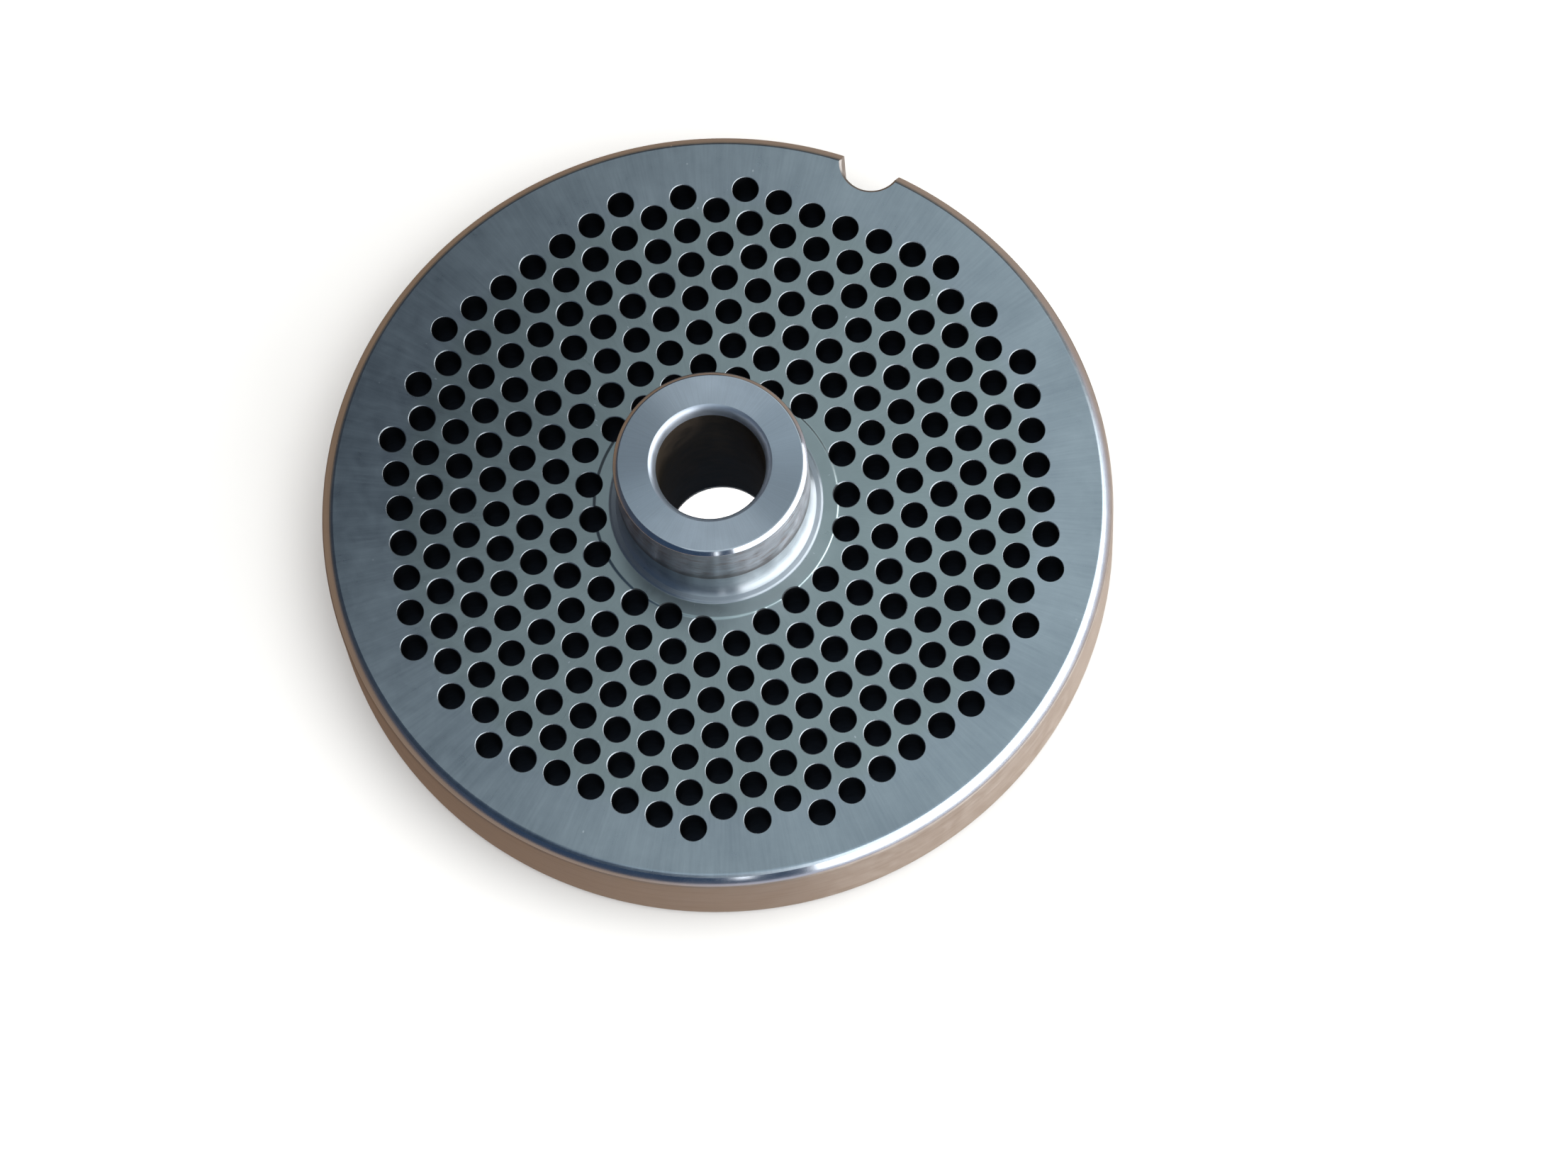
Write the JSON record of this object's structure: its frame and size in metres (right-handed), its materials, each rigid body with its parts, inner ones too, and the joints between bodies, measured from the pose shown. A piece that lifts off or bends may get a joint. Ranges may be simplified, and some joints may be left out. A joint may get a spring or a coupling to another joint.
{
  "type": "meat grinder plate",
  "caption": "Round steel plate with a grid of small round through holes, a raised round hub with a central bore, chamfered rims and a half-round locating notch in the edge.",
  "frame": {"origin": "on the bore's axis, at the underside (the flat face that the knife runs on)", "axes": "+Z along the bore, from the knife face towards the hub; +Y towards the locating notch in the rim; +X completes the right-handed frame and lies along one row of the hole grid"},
  "size_m": [0.0824, 0.0824, 0.0242],
  "materials": {
    "ground_steel": "ground satin faces, polished rim and hub"
  },
  "bodies": {
    "root": {"grinder_plate": "ground_steel"}
  },
  "joints": []
}
